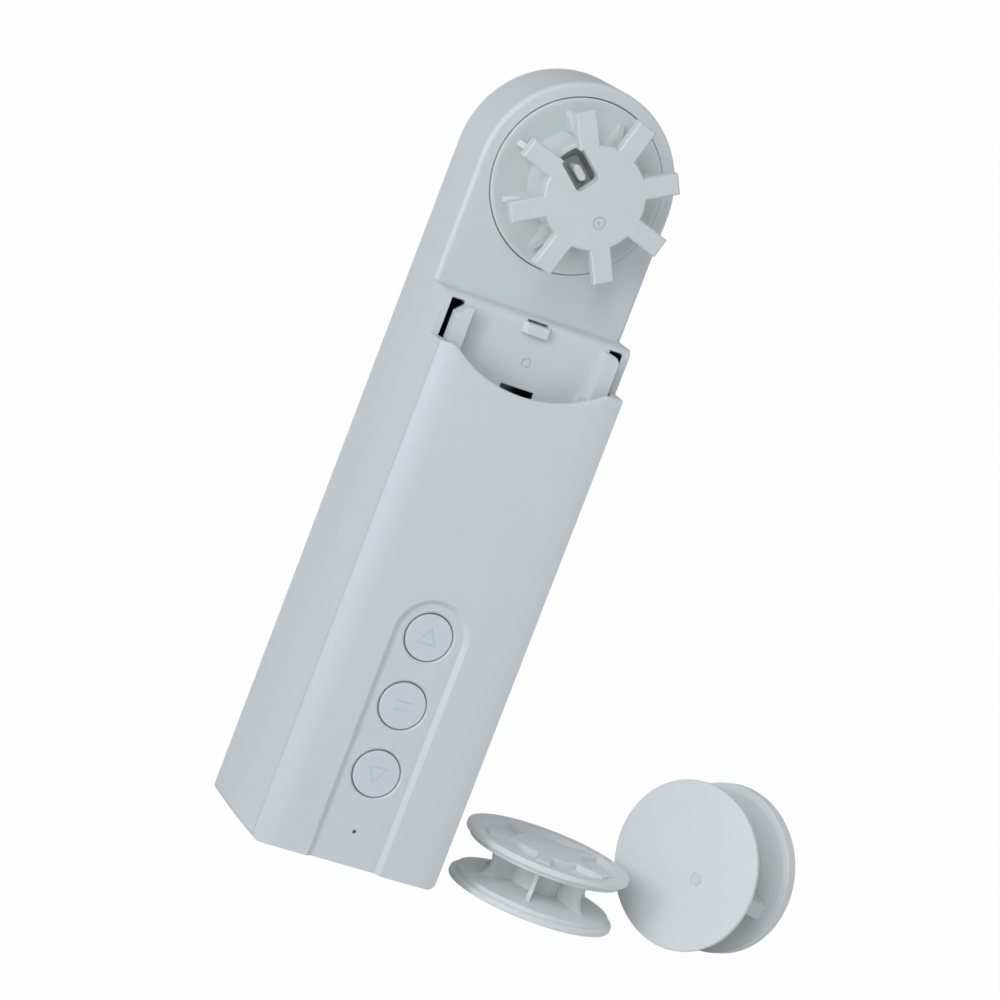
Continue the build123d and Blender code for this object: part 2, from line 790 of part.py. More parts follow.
def mainHousing():
    """Head, side walls, bottom and recessed panel, moulded in one."""
    shell = housingOutside() - housingInside()
    shell -= bottomCorners()
    shell -= panelSlots()
    front_wall = head_depth - wall
    axle_boss = disc(axle_radius + boss_wall, front_wall - boss_wall, front_wall + wall / 2,
                     0, idler_height)
    shell += axle_boss
    shell -= disc(axle_radius + push_clearance, 0, front_wall, 0, idler_height)
    shell -= disc(recess_radius, recess_floor_depth, head_depth + cutter_overrun, 0, wheel_height)
    boss_outer = front_journal_radius + bush_wall + boss_wall
    shell += disc(boss_outer, recess_wall_depth - push_clearance, flange_back_depth + bush_room - flange_gap,
                  0, wheel_height)
    shell -= disc(front_journal_radius + bush_wall + push_clearance, 0, head_depth + cutter_overrun,
                  0, wheel_height)
    shell += panelPosts()
    shell += [frame_post - frame_hole for frame_post, frame_hole in framePosts()]
    for x, height in screwPlaces():
        limit = min(boss_depth_length, recess_wall_depth)
        shell += disc(boss_radius, back_cover_thickness + push_clearance, limit, x, height) - disc(
            screw_shank_radius + push_clearance, 0, limit - wall, x, height)
    shell -= plate(Pos(panel_mark_x, panel_mark_height) * (
        Circle(panel_mark_radius) - Circle(panel_mark_radius - gate_mark_groove)),
        panel_depth - gate_mark_sink, panel_depth + cutter_overrun)
    return shell - portHole()


def framePosts():
    """Posts on the panel's back that the gear frame is screwed to, each with its hole."""
    near = frame_depth + frame_plate
    pairs = []
    for side in (-1, 1):
        post = disc(frame_post_radius, near, panel_depth - wall / 2, side * frame_post_x, frame_post_height)
        hole = disc(screw_shank_radius + push_clearance, 0, near + screw_length, side * frame_post_x,
                    frame_post_height)
        pairs.append((post, hole))
    return pairs


def portHole():
    """The hole in the bottom wall for the charging plug."""
    middle = board_back_depth - port_thickness / 2
    hole = SlotOverall(port_width + 2 * port_clearance, port_thickness + 2 * port_clearance)
    return Pos(0, wall_y - middle, -cutter_overrun) * extrude(hole, wall + 2 * cutter_overrun)


def backCover():
    """Flat plate let into the back, with six countersunk holes and two keyholes."""
    cover = plate(arch(inner_half_width - back_cover_gap, wall + back_cover_gap), 0, back_cover_thickness)
    for x, height in screwPlaces():
        cover -= disc(screw_shank_radius + push_clearance, -cutter_overrun, body_depth, x, height)
        cover -= disc(screw_head_radius + push_clearance, -cutter_overrun, screw_head_thickness, x, height)
    for height in (keyhole_low, keyhole_high):
        pocket_far = back_cover_thickness + keyhole_pocket
        cover += plate(keyholeOutline(height, wall / 2), 0, pocket_far + wall / 2)
        cover -= plate(keyholeOutline(height, 0, True), -cutter_overrun, back_cover_thickness)
        cover -= plate(keyholeOutline(height, 0), back_cover_thickness - push_clearance, pocket_far)
    return cover


def keyholeOutline(height, margin, narrow=False):
    """Outline of a keyhole's opening, or of the room behind it for the screw's head."""
    neck = keyhole_slot_radius if narrow else keyhole_entry_radius
    entry = Pos(0, height) * Circle(keyhole_entry_radius + margin)
    top = Pos(0, height + keyhole_rise) * Circle(neck + margin)
    link = Pos(0, height + keyhole_rise / 2) * Rectangle(2 * (neck + margin), keyhole_rise)
    return entry + top + link


def frontCover():
    """Lower front cover: rolled long edges, scooped top, sunk channel for the buttons."""
    flat = front_half_width - roll_width
    arc_radius = (roll_width ** 2 + crown_rise ** 2) / (2 * crown_rise)
    start = math.asin(roll_width / arc_radius)
    bulge_x = arc_radius * math.sin(start / 2)
    bulge_drop = arc_radius * (1 - math.cos(start / 2))
    seat_y, side_y, crown_y = (wall_y - depth for depth in (cover_seat_depth, side_depth, body_depth))
    left = ThreePointArc((-front_half_width, side_y), (-flat - bulge_x, crown_y + bulge_drop),
                         (-flat, crown_y))
    right = ThreePointArc((flat, crown_y), (flat + bulge_x, crown_y + bulge_drop),
                          (front_half_width, side_y))
    crown = Line((-flat, crown_y), (flat, crown_y))
    seat = Polyline((front_half_width, side_y), (seat_half_width, seat_y), (-seat_half_width, seat_y),
                    (-front_half_width, side_y))
    sheet = extrude(make_face(left + crown + right + seat), shoulder_height + cutter_overrun)
    sheet -= plate(scoopOutline(), 0, body_depth + cutter_overrun)
    lip_half = front_inner_half_width - seam_gap
    lip_near = cover_seat_depth - lip_depth
    lip_top = pocket_floor - wall - seam_gap
    lip = block(-lip_half, lip_half, lip_near, cover_seat_depth + cutter_overrun / 2,
                wall + seam_gap, lip_top)
    lip -= block(-lip_half + lip_thickness, lip_half - lip_thickness, 0, body_depth,
                 wall + seam_gap + lip_thickness, lip_top - lip_thickness)
    sheet -= block(-lip_half + lip_thickness, lip_half - lip_thickness, 0, cover_inner_depth,
                   wall + seam_gap + lip_thickness, lip_top - lip_thickness)
    sheet += lip
    floor_half = channel_half_width - channel_depth
    backing = plate(channelOutline(channel_half_width + cover_skin / 2, wall + seam_gap),
                    channel_inner_depth, cover_inner_depth + cutter_overrun / 2)
    sheet += backing
    floor = atDepth(channel_floor_depth) * channelOutline(floor_half, -cutter_overrun)
    rim = atDepth(body_depth) * channelOutline(channel_half_width, -cutter_overrun)
    sheet -= loft([floor, rim], ruled=True)
    for height in button_heights:
        sheet -= disc(button_radius + button_gap, 0, body_depth, 0, height)
        bevel = [atDepth(depth) * Pos(0, height) * Circle(button_radius + button_gap + widen)
                 for depth, widen in ((channel_floor_depth - button_bevel, 0),
                                      (channel_floor_depth, button_bevel))]
        sheet -= loft(bevel, ruled=True)
    sheet -= disc(pinhole_radius, 0, body_depth, 0, pinhole_height)
    sheet -= bottomCorners()
    sheet += [post - hole for post, hole in boardPosts()]
    top_edge = edgesWhere(sheet, lambda point, edge: abs(point.Y - crown_y) < push_clearance
                          and point.Z > scoop_low - push_clearance)
    return fillet(top_edge, scoop_edge_round)


def scoopOutline():
    """All that lies above the cover's top edge: the scoop and the room over both shoulders."""
    circle = Pos(0, scoop_low + scoop_radius) * Circle(scoop_radius)
    above = Pos(0, shoulder_height + scoop_radius) * Rectangle(2 * body_width, 2 * scoop_radius)
    outline = circle + above
    corners = [corner for corner in outline.vertices() if abs(corner.Y - shoulder_height) < push_clearance
               and abs(corner.X) < front_half_width]
    return fillet(corners, scoop_corner)


def channelOutline(half, foot):
    """Straight-sided outline with a round top about the upper button."""
    top = button_heights[-1]
    sides = Polyline((-half, top), (-half, foot), (half, foot), (half, top))
    return make_face(sides + ThreePointArc((half, top), (0, top + half), (-half, top)))


def boardPlaces():
    return [(side * board_post_x, height) for height in (board_post_low, board_post_high) for side in (-1, 1)]


def boardPosts():
    """Posts on the front cover's back that carry the circuit board, each with its hole."""
    pairs = []
    for x, height in boardPlaces():
        post = disc(board_post_radius, board_front_depth, cover_inner_depth + cutter_overrun / 2, x, height)
        hole = disc(screw_shank_radius + push_clearance, 0, cover_inner_depth, x, height)
        pairs.append((post, hole))
    return pairs


# Drive train

def outputShaft():
    """Stepped shaft with a flatted nose that the wheel slides onto."""
    rear = frame_depth + frame_plate
    seat_near = gear_layer_depth - flange_gap
    seat_far = gear_layer_depth + gear_layer_width
    journal_far = flange_back_depth + bush_room - flange_gap
    shaft = disc(shaft_radius, rear, seat_near, 0, wheel_height)
    shaft += disc(gear_seat_radius, seat_near, seat_far, 0, wheel_height)
    shaft += disc(front_journal_radius, seat_far, journal_far, 0, wheel_height)
    nose = Pos(0, 0, journal_far) * extrude(dSection(nose_radius, nose_flat), nose_front_depth - journal_far)
    ring = Circle(nose_radius + cutter_overrun) - Circle(nose_radius - nose_groove)
    groove = Pos(0, 0, latch_floor_depth) * extrude(ring, latch_plate + 2 * latch_play)
    shaft += onWheelAxis(nose - groove)
    magnet_room = disc(shaft_radius - running_clearance - bush_wall / 2, 0, rear + wall, 0, wheel_height)
    return shaft - magnet_room


def positionMagnet():
    """Round magnet in the shaft's rear end, read by the position sensor."""
    near = frame_depth + frame_plate
    return disc(shaft_radius - 2 * running_clearance - bush_wall / 2, near + running_clearance,
                near + wall - running_clearance, 0, wheel_height)


def outputGear():
    gear = spurGear(output_teeth, spur_module, gear_layer_width, phase=-90 + 180 / output_teeth)
    hole = extrude(Circle(gear_seat_radius + push_clearance), gear_layer_width)
    rib_inner, rib_outer = gear_seat_radius + boss_wall, spur_module * output_teeth / 2 - 2 * boss_wall
    hollow = extrude(Circle(rib_outer) - Circle(rib_inner), gear_layer_width / 3)
    spokes = [Rot(0, 0, 360 / arm_count * index) * Pos((rib_inner + rib_outer) / 2, 0) * Box(
        rib_outer - rib_inner + wall, fin_thickness, gear_layer_width * 2) for index in range(arm_count)]
    hollow -= spokes
    gear = gear - hole - hollow
    return onWheelAxis(Pos(0, 0, gear_layer_depth) * gear)


def compoundGear():
    """Bevel gear and spur pinion in one, turning on a fixed axle."""
    near = frame_depth + frame_plate + seam_gap
    apex = Pos(0, 0, motor_axis_depth)
    bevel = apex * bevelGear(bevel_gear_teeth, bevel_pinion_teeth, bevel_module, bevel_face, bevel_web,
                             phase=-90 + 180 / bevel_gear_teeth)
    pinion = Pos(0, 0, gear_layer_depth) * spurGear(pinion_teeth, spur_module, gear_layer_width, phase=90)
    foot = Pos(0, 0, near) * extrude(Circle(axle_radius + boss_wall), motor_axis_depth - near)
    gear = bevel + pinion + foot
    gear -= extrude(Circle(axle_radius + running_clearance), body_depth)
    place = Plane(origin=(0, wall_y, idler_height), x_dir=(1, 0, 0), z_dir=(0, -1, 0))
    return place * gear


def bevelPinion():
    """Bevel pinion on the motor's shaft, its cone pointing up at the idler's axis."""
    gear = bevelGear(bevel_pinion_teeth, bevel_gear_teeth, bevel_module, bevel_face, bevel_face, phase=90)
    gear -= Pos(0, 0, -idler_height) * extrude(Circle(motor_shaft_radius + push_clearance), idler_height)
    return Pos(0, wall_y - motor_axis_depth, idler_height) * gear


def gearFrame():
    """Moulded bracket that carries the motor, the idler's axle and the rear bush."""
    near, far = frame_depth, frame_depth + frame_plate
    foot = motor_top
    top = wheel_height
    top_half = shaft_radius + bush_wall + boss_wall
    outline = [(frame_half_width, foot), (frame_half_width, idler_height), (top_half, top)]
    spine = make_face(Polyline(*outline, *((-x, height) for x, height in reversed(outline)), close=True))
    round_top = Pos(0, top) * Circle(top_half)
    ear = Pos(0, frame_post_height) * Rectangle(2 * (frame_post_x + frame_post_radius), 2 * frame_post_radius)
    frame = plate(spine + round_top + ear, near, far)
    bush_outer = shaft_radius + bush_wall
    frame += disc(bush_outer + boss_wall, near, gear_layer_depth - 2 * flange_gap, 0, wheel_height)
    frame += disc(axle_radius + boss_wall, near, far, 0, idler_height)
    depth_reach = motor_axis_depth + motor_radius
    frame += block(-frame_half_width, frame_half_width, near, depth_reach, foot, foot + shelf)
    gusset = Polyline((0, 0), (frame_post_rise, 0), (0, frame_post_rise), close=True)
    for side in (-1, 1):
        rib = extrude(make_face(Plane.YZ * gusset), boss_wall)
        rib = Rot(0, 0, 180) * rib
        rib_x = side * (frame_half_width - boss_wall / 2) + boss_wall / 2
        frame += Pos(rib_x, wall_y - far, foot + shelf) * rib
    frame -= disc(bush_outer + push_clearance, -cutter_overrun, body_depth, 0, wheel_height)
    frame -= block(-sensor_width / 2 - push_clearance, sensor_width / 2 + push_clearance, 0,
                   near + sensor_board, wheel_height - sensor_height / 2 - push_clearance,
                   wheel_height + sensor_height / 2 + push_clearance)
    frame -= disc(axle_radius + push_clearance, 0, body_depth, 0, idler_height)
    boss_room = motor_boss_radius + push_clearance
    frame -= upright(boss_room, foot - cutter_overrun, foot + shelf + cutter_overrun,
                     0, motor_axis_depth)
    for side in (-1, 1):
        frame -= upright(screw_shank_radius + push_clearance, foot - cutter_overrun,
                         foot + shelf + cutter_overrun, side * motor_screw_offset, motor_axis_depth)
        frame -= disc(screw_shank_radius + push_clearance, 0, body_depth, side * frame_post_x,
                      frame_post_height)
    return frame


def positionBoard():
    """Small board with the sensor that reads the shaft's magnet."""
    board = block(-sensor_width / 2, sensor_width / 2, frame_depth, frame_depth + sensor_board,
                  wheel_height - sensor_height / 2, wheel_height + sensor_height / 2)
    chip_far = frame_depth + frame_plate - seam_gap
    return board + block(-sensor_chip / 2, sensor_chip / 2, frame_depth + sensor_board, chip_far,
                         wheel_height - sensor_chip / 2, wheel_height + sensor_chip / 2)


def rearBush():
    near = frame_depth + frame_plate
    far = gear_layer_depth - 2 * flange_gap
    return disc(shaft_radius + bush_wall, near, far, 0, wheel_height) - disc(
        shaft_radius + running_clearance, 0, body_depth, 0, wheel_height)


def frontBush():
    far = flange_back_depth + bush_room - flange_gap
    near = gear_layer_depth + gear_layer_width + seam_gap
    return disc(front_journal_radius + bush_wall, near, far, 0, wheel_height) - disc(
        front_journal_radius + running_clearance, 0, body_depth, 0, wheel_height)


def idlerAxle():
    return disc(axle_radius, frame_depth, head_depth - wall, 0, idler_height)


def motorScrews():
    screws = []
    foot = motor_top + shelf
    for side in (-1, 1):
        x = side * motor_screw_offset
        screws.append(upright(screw_head_radius, foot, foot + screw_head_thickness, x, motor_axis_depth)
                      + upright(screw_shank_radius, motor_top - motor_screw_depth, foot, x, motor_axis_depth))
    return screws


def reducer():
    """Can of the planetary reduction in front of the motor, with its bearing boss."""
    can = upright(motor_radius, reducer_foot, motor_top, 0, motor_axis_depth)
    can = chamfer(can.edges().filter_by(GeomType.CIRCLE), edge_roll)
    can += upright(motor_boss_radius, motor_top, motor_top + motor_boss_height, 0, motor_axis_depth)
    can -= upright(motor_shaft_radius + running_clearance, motor_top - motor_bore_depth,
                   motor_top + motor_boss_height, 0, motor_axis_depth)
    for side in (-1, 1):
        can -= upright(screw_shank_radius + push_clearance,
                       motor_top - motor_screw_depth - seam_gap, motor_top,
                       side * motor_screw_offset, motor_axis_depth)
    return can


def motorShaft():
    top = idler_height - bevel_gear_radius + bevel_face
    foot = motor_top - motor_bore_depth + running_clearance
    return upright(motor_shaft_radius, foot, top, 0, motor_axis_depth)


def motorCan():
    """Steel can of the motor, flattened on two sides."""
    can = upright(motor_radius, motor_foot, reducer_foot, 0, motor_axis_depth)
    flat = motor_radius - boss_wall / 2
    for side in (-1, 1):
        low, high = sorted((side * flat, side * motor_radius))
        can -= block(low, high, 0, body_depth, motor_foot, reducer_foot - boss_wall)
    return can


def motorEndCap():
    """Plastic end bell with two solder terminals."""
    foot = motor_foot - motor_cap_length
    cap = upright(motor_radius - boss_wall, foot, motor_foot, 0, motor_axis_depth)
    cap += upright(shaft_radius, foot - boss_wall / 2, foot, 0, motor_axis_depth)
    for side in (-1, 1):
        x = side * terminal_offset
        cap += block(x - lead_radius, x + lead_radius, motor_axis_depth + shaft_radius,
                     motor_axis_depth + shaft_radius + contact_thickness, foot - boss_wall, foot)
    return cap


# Electronics

def mainBoard():
    board = block(-board_half_width, board_half_width, board_back_depth, board_front_depth, board_foot,
                  board_top)
    board = fillet(board.edges().filter_by(Axis.Y), corner_round / 2)
    for x, height in boardPlaces():
        board -= disc(screw_shank_radius + push_clearance, 0, body_depth, x, height)
    return board


def tactSwitches():
    switches = []
    for height in button_heights:
        half = switch_size / 2
        far = board_front_depth + switch_height
        body = block(-half, half, board_front_depth, far, height - half, height + half)
        cut_far = far - plunger_length + plunger_proud - button_travel - running_clearance
        switches.append(body - disc(plunger_radius + running_clearance, cut_far, body_depth, 0, height))
    return switches


def plunger(height):
    far = board_front_depth + switch_height + plunger_proud
    return disc(plunger_radius, far - plunger_length, far, 0, height)


def button(height):
    """Round cap with a flange behind the cover and a short stem."""
    flange_near = channel_inner_depth - button_flange_gap - button_flange_thickness
    cap = disc(button_radius, flange_near, channel_floor_depth, 0, height)
    front = cap.faces().sort_by(Axis.Y)[0]
    cap = fillet(front.edges(), button_edge_round)
    cap += disc(button_radius + button_flange, flange_near, flange_near + button_flange_thickness, 0, height)
    stem_near = board_front_depth + switch_height + plunger_proud
    return cap + disc(button_stem_radius, stem_near, flange_near, 0, height)


def statusLed():
    half = led_size / 2
    return block(-half, half, board_front_depth, board_front_depth + led_thickness, pinhole_height - half,
                 pinhole_height + half)


def lightPipe():
    """Clear rod from the lamp to the pinhole in the cover."""
    near = board_front_depth + led_thickness
    rod = disc(pipe_radius, near, channel_inner_depth, 0, pinhole_height)
    return rod + disc(pinhole_radius - push_clearance, channel_inner_depth,
                      channel_floor_depth - cover_skin / 3, 0, pinhole_height)


def radioModule():
    half = module_width / 2
    edge = module_border
    card = block(-half, half, board_front_depth, board_front_depth + board_thickness / 2,
                 module_foot, module_top)
    return card + block(-half + edge, half - edge, board_front_depth + board_thickness / 2,
                        board_front_depth + module_thickness, module_foot + edge,
                        module_top - module_margin)


def chargingPort():
    """Metal socket for the charging plug, with its tongue, opening downwards."""
    middle = wall_y - (board_back_depth - port_thickness / 2)
    shell = extrude(SlotOverall(port_width, port_thickness), port_length)
    room = extrude(SlotOverall(port_width - 2 * port_shell, port_thickness - 2 * port_shell),
                   port_length - 2 * port_shell)
    tongue = Pos(0, 0, port_shell) * extrude(Rectangle(port_width - port_thickness, tongue_thickness),
                                             port_length - port_shell)
    return Pos(0, middle, port_recess) * (shell - room + tongue)


def boardScrews():
    near = board_back_depth
    return [disc(screw_head_radius, near - screw_head_thickness, near, x, height)
            + disc(screw_shank_radius, near, cover_inner_depth - seam_gap, x, height)
            for x, height in boardPlaces()]


def frameScrews():
    near = frame_depth
    return [disc(screw_head_radius, back_cover_thickness + push_clearance, near, side * frame_post_x,
                 frame_post_height)
            + disc(screw_shank_radius, near, near + frame_plate + screw_length - seam_gap,
                   side * frame_post_x, frame_post_height) for side in (-1, 1)]


def housingScrews():
    limit = min(boss_depth_length, recess_wall_depth) - wall - seam_gap
    return [disc(screw_head_radius, seam_gap, screw_head_thickness, x, height)
            + disc(screw_shank_radius, screw_head_thickness, limit, x, height) for x, height in screwPlaces()]


def cell(side):
    """Round cell with a raised pole at its top end."""
    can = upright(cell_radius, cell_foot, cell_top - contact_thickness, side * cell_x, cell_depth)
    can = fillet(can.edges().filter_by(GeomType.CIRCLE), contact_thickness * 2)
    return can + upright(shaft_radius, cell_top - contact_thickness, cell_top, side * cell_x, cell_depth)


def batteryCradle():
    """Moulded tray with a saddle for each cell and a wall at each end."""
    half = 2 * cell_x + cradle_wall
    room_foot, room_top = cell_foot - contact_thickness, cell_top + contact_thickness
    foot, top = room_foot - cradle_wall, room_top + cradle_wall
    tray = block(-half, half, cradle_near, cradle_near + cradle_depth, cell_foot, cell_top)
    for side in (-1, 1):
        tray -= upright(cell_radius + running_clearance, foot, top, side * cell_x, cell_depth)
    tray += block(-half, half, cradle_near, cradle_near + cradle_floor - running_clearance, foot, top)
    for low, high in ((foot, room_foot), (room_top, top)):
        tray += block(-half, half, cradle_near, cell_depth + contact_width / 2, low, high)
    third = (room_top - room_foot) / 3
    for index in range(3):
        low = room_foot + third * index + cradle_rib
        tray -= block(-half + cell_radius / 2, half - cell_radius / 2, cradle_near + cradle_floor * 2,
                      body_depth, low, low + third - 2 * cradle_rib)
    return tray


def cellContacts():
    """One strip across both cells at the bottom and a tab on each at the top."""
    half = contact_width / 2
    near, far = cell_depth - half, cell_depth + half
    strips = [block(-cell_x - half, cell_x + half, near, far, cell_foot - contact_thickness, cell_foot)]
    for side in (-1, 1):
        x = side * cell_x
        strips.append(block(x - half, x + half, near, lead_depth + lead_radius, cell_top,
                            cell_top + contact_thickness))
    return strips


def lead(x, depth, start, rise, end_depth):
    """A wire that leaves upwards or downwards and turns to the circuit board."""
    points = [(x, wall_y - depth, start), (x, wall_y - depth, rise), (x, wall_y - end_depth, rise)]
    path = FilletPolyline(*points, radius=lead_bend)
    section = Plane(origin=points[0], z_dir=(0, 0, rise - start)) * Circle(lead_radius)
    return sweep(section, path)


def motorLeads():
    start = motor_foot - motor_cap_length - boss_wall
    depth = motor_axis_depth + shaft_radius
    return [lead(side * terminal_offset, depth, start, start - lead_run, board_back_depth)
            for side in (-1, 1)]


def batteryLeads():
    start = cell_top + contact_thickness
    return [lead(side * cell_x, lead_depth, start, start + lead_run, board_back_depth)
            for side in (-1, 1)]


def buildPieces():
    """Every piece by name, at rest and in place."""
    pieces = {
        "main_housing": mainHousing(),
        "back_cover": backCover(),
        "front_cover": frontCover(),
        "drive_wheel": onWheelAxis(driveWheel()),
        "wheel_star": onWheelAxis(wheelStar()),
        "wheel_latch": onWheelAxis(wheelLatch()),
        "output_shaft": outputShaft(),
        "output_gear": outputGear(),
        "position_magnet": positionMagnet(),
        "position_board": positionBoard(),
        "rear_bush": rearBush(),
        "front_bush": frontBush(),
        "gear_frame": gearFrame(),
        "idler_axle": idlerAxle(),
        "compound_gear": compoundGear(),
        "bevel_pinion": bevelPinion(),
        "reducer_can": reducer(),
        "motor_can": motorCan(),
        "motor_end_cap": motorEndCap(),
        "motor_shaft": motorShaft(),
        "main_board": mainBoard(),
        "tact_switches": tactSwitches(),
        "status_led": statusLed(),
        "light_pipe": lightPipe(),
        "radio_module": radioModule(),
        "charging_port": chargingPort(),
        "battery_cell_left": cell(-1),
        "battery_cell_right": cell(1),
        "battery_cradle": batteryCradle(),
        "cell_contacts": cellContacts(),
        "motor_leads": motorLeads(),
        "battery_leads": batteryLeads(),
        "housing_screws": housingScrews(),
        "board_screws": boardScrews(),
        "frame_screws": frameScrews(),
        "motor_screws": motorScrews(),
        "cord_pulley_hub": layFlat(grooveWheelHub()),
        "cord_pulley_face": layFlat(grooveWheelFace()),
        "disc_pulley_hub": standOnEdge(wheelBase(disc_rim_lip, disc_fin_angles, disc_fin_thickness,
                                                 flange_radius - disc_fin_inset)),
        "disc_pulley_face": standOnEdge(plainDisc()),
    }
    for name, height in zip(("down", "stop", "up"), button_heights):
        pieces[f"{name}_button"] = button(height)
        pieces[f"{name}_switch_plunger"] = plunger(height)
    return pieces


def asSolids(piece):
    """The separate solids of a piece, as one group for its file."""
    parts = piece if isinstance(piece, list) else [piece]
    solids = [solid for part in parts for solid in part.solids()]
    return solids[0] if len(solids) == 1 else Compound(children=solids)


if __name__ == "__main__":
    os.makedirs("parts", exist_ok=True)
    for piece_name, piece in buildPieces().items():
        export_step(asSolids(piece), f"parts/{piece_name}.step")
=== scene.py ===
import math

import bmesh
import bpy
from mathutils import Matrix, Vector


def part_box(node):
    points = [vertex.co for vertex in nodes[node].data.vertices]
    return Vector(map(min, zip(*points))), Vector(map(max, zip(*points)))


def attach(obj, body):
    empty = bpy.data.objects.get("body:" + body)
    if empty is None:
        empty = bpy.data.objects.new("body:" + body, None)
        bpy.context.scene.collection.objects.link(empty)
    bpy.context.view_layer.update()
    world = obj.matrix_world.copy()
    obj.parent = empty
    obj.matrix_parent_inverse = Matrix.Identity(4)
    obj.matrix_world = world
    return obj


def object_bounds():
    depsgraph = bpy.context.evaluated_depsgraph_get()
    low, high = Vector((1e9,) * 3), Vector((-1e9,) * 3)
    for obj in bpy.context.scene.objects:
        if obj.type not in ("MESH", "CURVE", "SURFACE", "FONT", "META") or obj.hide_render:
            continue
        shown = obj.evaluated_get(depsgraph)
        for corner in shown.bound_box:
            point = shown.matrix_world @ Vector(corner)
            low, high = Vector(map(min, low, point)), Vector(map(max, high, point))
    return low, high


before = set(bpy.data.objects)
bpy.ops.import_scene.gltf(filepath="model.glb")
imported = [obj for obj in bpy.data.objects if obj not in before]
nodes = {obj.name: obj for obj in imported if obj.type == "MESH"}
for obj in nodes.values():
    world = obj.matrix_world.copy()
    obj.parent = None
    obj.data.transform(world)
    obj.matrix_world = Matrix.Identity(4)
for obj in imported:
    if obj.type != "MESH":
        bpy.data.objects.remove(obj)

mm = 0.001
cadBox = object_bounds()


class Wire:  # a node's socket that can be added, multiplied and fed to the next node
    def __init__(self, tree, socket=None):
        self.tree, self.socket = tree, socket

    def node(self, kind, settings=None, sockets=None, output=0):
        made = self.tree.nodes.new(kind)
        for name, value in (settings or {}).items():
            setattr(made, name, value)
        for name, value in (sockets or {}).items():
            if isinstance(value, Wire):
                self.tree.links.new(value.socket, made.inputs[name])
            else:
                made.inputs[name].default_value = value
        return Wire(self.tree, made.outputs[output] if made.outputs else None)

    def math(self, operation, first, second):
        return self.node("ShaderNodeMath", {"operation": operation}, {0: first, 1: second})

    def __add__(self, other):
        return self.math("ADD", self, other)

    def __radd__(self, other):
        return self.math("ADD", other, self)

    def __sub__(self, other):
        return self.math("SUBTRACT", self, other)

    def __rsub__(self, other):
        return self.math("SUBTRACT", other, self)

    def __mul__(self, other):
        return self.math("MULTIPLY", self, other)

    def __rmul__(self, other):
        return self.math("MULTIPLY", other, self)


colourPins = {"factor": 0, "first": 6, "second": 7, "result": 2}  # the colour sockets of a Mix node


def mixColour(amount, first, second):
    settings = {"data_type": "RGBA", "clamp_factor": True}
    sockets = {colourPins["factor"]: amount, colourPins["first"]: first, colourPins["second"]: second}
    return amount.node("ShaderNodeMix", settings, sockets, output=colourPins["result"])


def startMaterial(name):
    material = bpy.data.materials.new(name)
    material.use_nodes = True
    material.node_tree.nodes.clear()
    return material, Wire(material.node_tree)


def noise(start, place, size, detail, rough=0.5):
    sockets = {"Vector": place, "Scale": 1 / (size * mm), "Detail": detail, "Roughness": rough}
    return start.node("ShaderNodeTexNoise", None, sockets)


def shade(rgb):
    return (*rgb, 1.0)


def endMaterial(material, start, sockets):
    shader = start.node("ShaderNodeBsdfPrincipled", None, sockets)
    start.node("ShaderNodeOutputMaterial", None, {"Surface": shader})
    return material


# 1 inside a box given by two corners in mm, 0 outside it
def insideBox(place, corners):
    inside = None
    for axis, (low, high) in enumerate(zip(*corners)):
        along = place.node("ShaderNodeSeparateXYZ", None, {"Vector": place}, output=axis)
        middle, half = (low + high) / 2 * mm, (high - low) / 2 * mm
        within = along.node("ShaderNodeMath", {"operation": "COMPARE"}, {0: along, 1: middle, 2: half})
        inside = within if inside is None else inside * within
    return inside


# Shades the cover's left edge as if it rolled off a little further than the solid does
def rolledEdge(place, normal, roll):
    across = place.node("ShaderNodeSeparateXYZ", None, {"Vector": place}, output="X")
    fromFlat = across * -1.0 - roll["flat"] * mm
    reach = fromFlat.math("MAXIMUM", fromFlat, 0.0) * (1 / (roll["width"] * mm))
    return place.node("ShaderNodeBump", {"invert": True}, {
        "Height": reach * reach, "Strength": 1.0, "Distance": roll["drop"] * mm, "Normal": normal})


# Moulded plastic: spark-eroded grain, slow drift in colour, softened edges
plasticLook = {"driftDetail": 3.0, "grainDetail": 2.0, "grainRough": 0.6, "edgeSamples": 4, "ior": 1.5,
               "depth": 0.0, "depthSize": 1.0, "coat": 0.0, "coatRough": 0.25}


def mouldedPlastic(name, ownLook):
    look = {**plasticLook, **ownLook}
    material, start = startMaterial(name)
    place = start.node("ShaderNodeTexCoord", output="Object")
    drift = noise(start, place, look["driftSize"], look["driftDetail"])
    grain = noise(start, place, look["grainSize"], look["grainDetail"], look["grainRough"])
    colour = mixColour(drift, shade(look["light"]), shade(look["dark"]))
    # Paints surfaces inside the shade box near black: painted shade for the dark interior seen through
    # the slots
    if "hollow" in look:
        colour = mixColour(insideBox(place, look["hollow"]), colour, shade(look["paintedShadeColour"]))
    rough = grain * look["roughSpread"] + drift * look["roughSpread"] + look["rough"]
    edge = start.node("ShaderNodeBevel", {"samples": look["edgeSamples"]}, {"Radius": look["edge"] * mm})
    if "roll" in look:
        edge = rolledEdge(place, edge, look["roll"])
    bump = start.node("ShaderNodeBump", None, {"Height": grain, "Strength": look["grainStrength"],
                                               "Distance": look["grainDepth"] * mm, "Normal": edge})
    return endMaterial(material, start, {
        "Base Color": colour, "Roughness": rough, "Normal": bump, "IOR": look["ior"],
        "Subsurface Weight": look["depth"], "Subsurface Scale": look["depthSize"] * mm,
        "Coat Weight": look["coat"], "Coat Roughness": look["coatRough"]})


